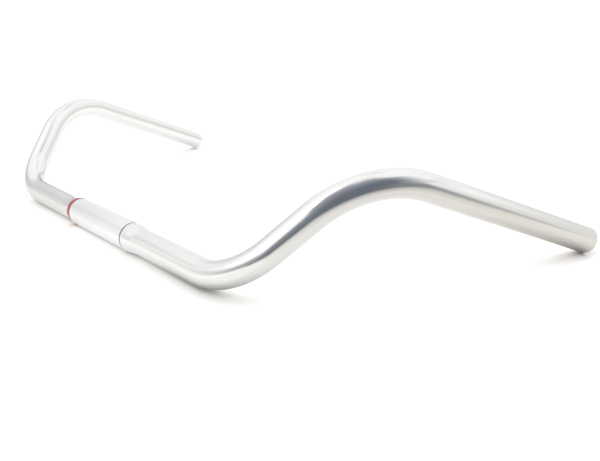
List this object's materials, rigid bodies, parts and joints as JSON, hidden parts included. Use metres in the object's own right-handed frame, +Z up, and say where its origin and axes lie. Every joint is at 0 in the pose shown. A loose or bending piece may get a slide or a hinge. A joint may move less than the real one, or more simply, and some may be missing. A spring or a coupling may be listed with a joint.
{
  "type": "swept-back bicycle handlebar",
  "caption": "One-piece bent aluminium handlebar with a swaged clamp zone, rising then falling into swept-back straight grips.",
  "frame": {"origin": "on the tube's axis at the middle of the clamp zone", "axes": "+X along the clamp zone to one side, +Y the way the grips sweep back, +Z up as the bar rests on its clamp zone and both grip ends"},
  "size_m": [0.6296, 0.3015, 0.0926],
  "materials": {
    "bar": "satin anodised, brushed along the tube, with a pale printed field, a red ring and a dark ring around the clamp zone"
  },
  "bodies": {
    "root": {"bar": "bar"}
  },
  "joints": []
}
